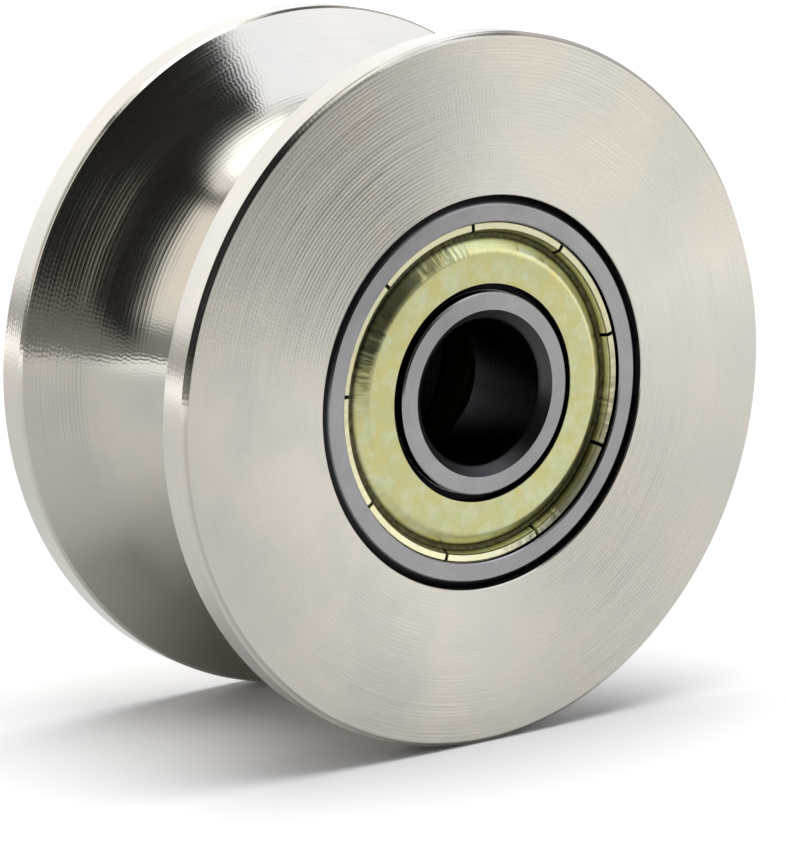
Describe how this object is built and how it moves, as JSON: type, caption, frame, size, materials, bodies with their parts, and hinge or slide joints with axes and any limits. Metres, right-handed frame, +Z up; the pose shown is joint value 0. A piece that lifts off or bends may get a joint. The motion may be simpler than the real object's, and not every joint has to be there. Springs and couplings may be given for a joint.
{
  "type": "u-groove pulley wheel",
  "caption": "Turned steel rope pulley wheel with a U-shaped groove, running on shielded ball bearings pressed into both faces, with a plain bore for an axle.",
  "frame": {"origin": "centre of the wheel, on its axle line, midway between its two faces", "axes": "+Y along the axle line away from the front face, +Z up, +X to the right seen from the front"},
  "size_m": [0.058, 0.027, 0.058],
  "materials": {
    "turned_steel": "fine turned, bare",
    "ring_steel": "ground, bare",
    "ball_steel": "polished",
    "cage_steel": "pressed sheet, bare",
    "shield_zinc": "yellow passivated zinc plate"
  },
  "bodies": {
    "inner_rings": {"front_inner_ring": "ring_steel", "rear_inner_ring": "ring_steel"},
    "wheel": {"pulley_wheel": "turned_steel", "front_outer_ring": "ring_steel", "rear_outer_ring": "ring_steel", "front_shield_outboard": "shield_zinc", "front_shield_inboard": "shield_zinc", "rear_shield_outboard": "shield_zinc", "rear_shield_inboard": "shield_zinc"},
    "front_cage": {"front_cage_outboard": "cage_steel", "front_cage_inboard": "cage_steel", "front_cage_rivets": "cage_steel"},
    "front_ball_1": {"front_ball_1": "ball_steel"},
    "front_ball_2": {"front_ball_2": "ball_steel"},
    "front_ball_3": {"front_ball_3": "ball_steel"},
    "front_ball_4": {"front_ball_4": "ball_steel"},
    "front_ball_5": {"front_ball_5": "ball_steel"},
    "front_ball_6": {"front_ball_6": "ball_steel"},
    "front_ball_7": {"front_ball_7": "ball_steel"},
    "rear_cage": {"rear_cage_outboard": "cage_steel", "rear_cage_inboard": "cage_steel", "rear_cage_rivets": "cage_steel"},
    "rear_ball_1": {"rear_ball_1": "ball_steel"},
    "rear_ball_2": {"rear_ball_2": "ball_steel"},
    "rear_ball_3": {"rear_ball_3": "ball_steel"},
    "rear_ball_4": {"rear_ball_4": "ball_steel"},
    "rear_ball_5": {"rear_ball_5": "ball_steel"},
    "rear_ball_6": {"rear_ball_6": "ball_steel"},
    "rear_ball_7": {"rear_ball_7": "ball_steel"}
  },
  "joints": [
    {"name": "wheel_spin", "type": "hinge", "parent": "inner_rings", "child": "wheel", "pos_m": [0, 0, 0], "axis": [0, 1, 0], "continuous": true},
    {"name": "front_cage_spin", "type": "hinge", "parent": "inner_rings", "child": "front_cage", "pos_m": [0, -0.00835, 0], "axis": [0, 1, 0], "continuous": true},
    {"name": "front_ball_1_spin", "type": "hinge", "parent": "front_cage", "child": "front_ball_1", "pos_m": [0, -0.00835, 0.011], "axis": [0, 1, 0], "continuous": true},
    {"name": "front_ball_2_spin", "type": "hinge", "parent": "front_cage", "child": "front_ball_2", "pos_m": [0.0086, -0.00835, 0.00686], "axis": [0, 1, 0], "continuous": true},
    {"name": "front_ball_3_spin", "type": "hinge", "parent": "front_cage", "child": "front_ball_3", "pos_m": [0.01072, -0.00835, -0.00245], "axis": [0, 1, 0], "continuous": true},
    {"name": "front_ball_4_spin", "type": "hinge", "parent": "front_cage", "child": "front_ball_4", "pos_m": [0.00477, -0.00835, -0.00991], "axis": [0, 1, 0], "continuous": true},
    {"name": "front_ball_5_spin", "type": "hinge", "parent": "front_cage", "child": "front_ball_5", "pos_m": [-0.00477, -0.00835, -0.00991], "axis": [0, 1, 0], "continuous": true},
    {"name": "front_ball_6_spin", "type": "hinge", "parent": "front_cage", "child": "front_ball_6", "pos_m": [-0.01072, -0.00835, -0.00245], "axis": [0, 1, 0], "continuous": true},
    {"name": "front_ball_7_spin", "type": "hinge", "parent": "front_cage", "child": "front_ball_7", "pos_m": [-0.0086, -0.00835, 0.00686], "axis": [0, 1, 0], "continuous": true},
    {"name": "rear_cage_spin", "type": "hinge", "parent": "inner_rings", "child": "rear_cage", "pos_m": [0, 0.00835, 0], "axis": [0, 1, 0], "continuous": true},
    {"name": "rear_ball_1_spin", "type": "hinge", "parent": "rear_cage", "child": "rear_ball_1", "pos_m": [0.00376, 0.00835, 0.01034], "axis": [0, 1, 0], "continuous": true},
    {"name": "rear_ball_2_spin", "type": "hinge", "parent": "rear_cage", "child": "rear_ball_2", "pos_m": [0.01043, 0.00835, 0.0035], "axis": [0, 1, 0], "continuous": true},
    {"name": "rear_ball_3_spin", "type": "hinge", "parent": "rear_cage", "child": "rear_ball_3", "pos_m": [0.00924, 0.00835, -0.00597], "axis": [0, 1, 0], "continuous": true},
    {"name": "rear_ball_4_spin", "type": "hinge", "parent": "rear_cage", "child": "rear_ball_4", "pos_m": [0.0011, 0.00835, -0.01095], "axis": [0, 1, 0], "continuous": true},
    {"name": "rear_ball_5_spin", "type": "hinge", "parent": "rear_cage", "child": "rear_ball_5", "pos_m": [-0.00787, 0.00835, -0.00768], "axis": [0, 1, 0], "continuous": true},
    {"name": "rear_ball_6_spin", "type": "hinge", "parent": "rear_cage", "child": "rear_ball_6", "pos_m": [-0.01091, 0.00835, 0.00137], "axis": [0, 1, 0], "continuous": true},
    {"name": "rear_ball_7_spin", "type": "hinge", "parent": "rear_cage", "child": "rear_ball_7", "pos_m": [-0.00574, 0.00835, 0.00939], "axis": [0, 1, 0], "continuous": true}
  ],
  "couplings": [
    {"joint": "front_cage_spin", "follows": "wheel_spin", "ratio": 0.6353},
    {"joint": "front_ball_1_spin", "follows": "wheel_spin", "ratio": 1.7125},
    {"joint": "front_ball_2_spin", "follows": "wheel_spin", "ratio": 1.7125},
    {"joint": "front_ball_3_spin", "follows": "wheel_spin", "ratio": 1.7125},
    {"joint": "front_ball_4_spin", "follows": "wheel_spin", "ratio": 1.7125},
    {"joint": "front_ball_5_spin", "follows": "wheel_spin", "ratio": 1.7125},
    {"joint": "front_ball_6_spin", "follows": "wheel_spin", "ratio": 1.7125},
    {"joint": "front_ball_7_spin", "follows": "wheel_spin", "ratio": 1.7125},
    {"joint": "rear_cage_spin", "follows": "wheel_spin", "ratio": 0.6353},
    {"joint": "rear_ball_1_spin", "follows": "wheel_spin", "ratio": 1.7125},
    {"joint": "rear_ball_2_spin", "follows": "wheel_spin", "ratio": 1.7125},
    {"joint": "rear_ball_3_spin", "follows": "wheel_spin", "ratio": 1.7125},
    {"joint": "rear_ball_4_spin", "follows": "wheel_spin", "ratio": 1.7125},
    {"joint": "rear_ball_5_spin", "follows": "wheel_spin", "ratio": 1.7125},
    {"joint": "rear_ball_6_spin", "follows": "wheel_spin", "ratio": 1.7125},
    {"joint": "rear_ball_7_spin", "follows": "wheel_spin", "ratio": 1.7125}
  ]
}
